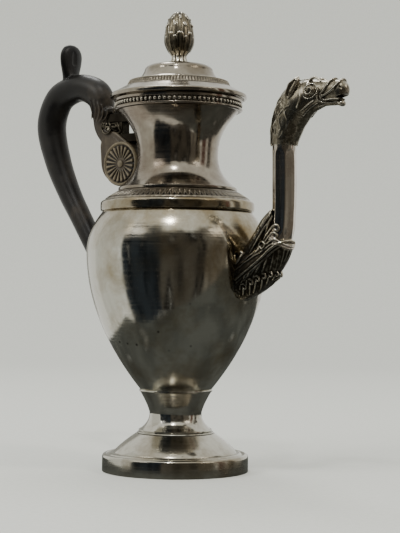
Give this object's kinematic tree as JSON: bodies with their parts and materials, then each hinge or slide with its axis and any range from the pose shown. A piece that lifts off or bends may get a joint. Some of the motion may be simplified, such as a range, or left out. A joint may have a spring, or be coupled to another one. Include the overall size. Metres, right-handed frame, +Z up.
{
  "type": "silver coffee pot",
  "caption": "Silver coffee pot on a turned foot, with a hinged domed lid, cone finial, tall spout ending in an animal's head and a carved dark wooden handle.",
  "frame": {"origin": "centre of the foot's rest plane", "axes": "+Z up along the pot's turning axis, +X towards the spout, -X towards the handle, +Y to the pot's left side seen from behind the spout"},
  "size_m": [0.2625, 0.1178, 0.2994],
  "materials": {
    "polished_silver": "hand polished, slightly tarnished",
    "oxidised_silver": "cast and chased, dark in the hollows",
    "plain_silver": "satin",
    "blackened_wood": "carved, stained and waxed"
  },
  "bodies": {
    "pot": {"foot_plinth": "polished_silver", "foot_skirt": "polished_silver", "stem_collar": "polished_silver", "foot_stem": "polished_silver", "stem_ring": "polished_silver", "body_bowl": "polished_silver", "shoulder_band": "polished_silver", "shoulder_frieze": "oxidised_silver", "neck_ring": "polished_silver", "neck": "polished_silver", "rim_band": "polished_silver", "rim_beading": "oxidised_silver", "spout_mount": "oxidised_silver", "spout_collar": "oxidised_silver", "spout_tube": "polished_silver", "spout_head": "oxidised_silver", "hinge_seat": "plain_silver", "hinge_pin": "plain_silver", "handle_wood": "blackened_wood", "upper_arm": "polished_silver", "leaf_clasp": "oxidised_silver", "lower_arm": "polished_silver", "clasp_pin": "plain_silver", "lower_socket": "polished_silver", "socket_flange": "polished_silver", "socket_pin": "plain_silver"},
    "lid": {"lid_knuckle": "plain_silver", "lid_cover": "polished_silver", "lid_strip": "oxidised_silver", "lid_bezel": "plain_silver", "finial_stem": "polished_silver", "finial_cone": "oxidised_silver", "finial_stud": "plain_silver", "finial_washer": "plain_silver", "finial_nut": "plain_silver"}
  },
  "joints": [
    {"name": "lid_hinge", "type": "hinge", "parent": "pot", "child": "lid", "pos_m": [-0.0474, 0, 0.2419], "axis": [0, -1, 0], "range_deg": [0, 75]}
  ]
}
